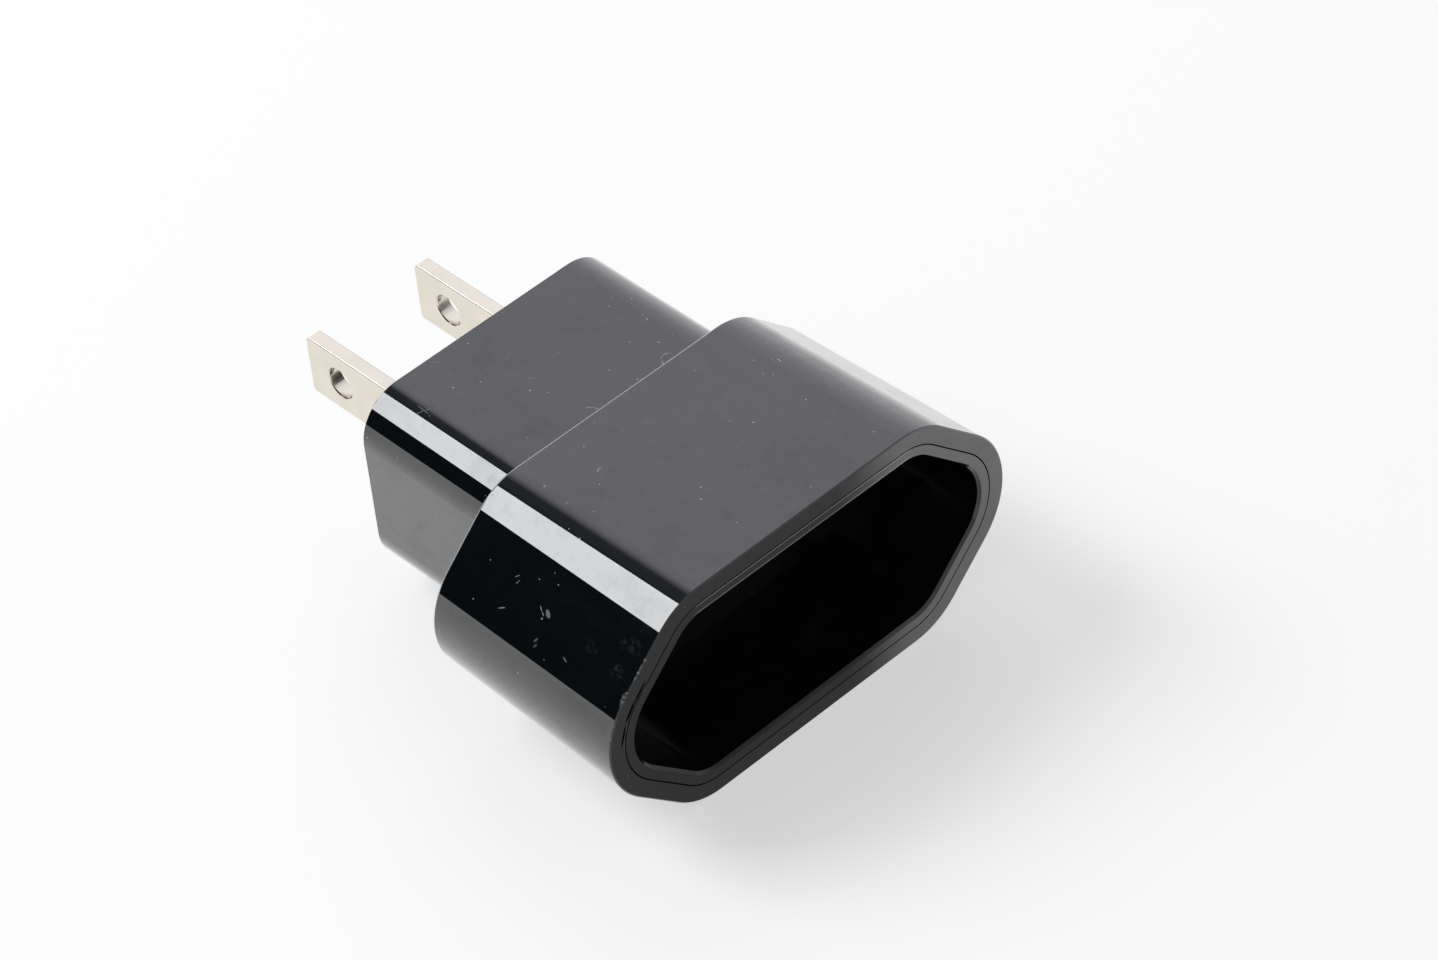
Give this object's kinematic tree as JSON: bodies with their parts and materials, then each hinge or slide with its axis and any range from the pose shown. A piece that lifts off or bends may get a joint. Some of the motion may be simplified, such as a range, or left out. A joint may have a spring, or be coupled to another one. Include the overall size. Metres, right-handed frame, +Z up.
{
  "type": "travel adapter",
  "caption": "Compact travel adapter: stepped moulded body with a hexagonal recessed socket for a flat round-pin plug, and flat blades at the other end.",
  "frame": {"origin": "centre of the bottom of the bounding box, under the plug axis", "axes": "+Y along the plug axis, from the socket towards the blades; +X across from the left blade to the right blade; +Z up, square to the wide faces"},
  "size_m": [0.0456, 0.0554, 0.0235],
  "materials": {
    "shell_plastic": "polished black injection moulding",
    "insert_plastic": "satin black injection moulding",
    "carrier_plastic": "matt black injection moulding",
    "blade_metal": "nickel-plated brass strip",
    "sleeve_metal": "bare rolled bronze strip",
    "rivet_metal": "bare brass, headed over"
  },
  "bodies": {
    "root": {"outer_shell": "shell_plastic", "socket_insert": "insert_plastic", "contact_carrier": "carrier_plastic", "left_blade": "blade_metal", "right_blade": "blade_metal", "left_contact_sleeve": "sleeve_metal", "right_contact_sleeve": "sleeve_metal", "left_rivet": "rivet_metal", "right_rivet": "rivet_metal"}
  },
  "joints": []
}
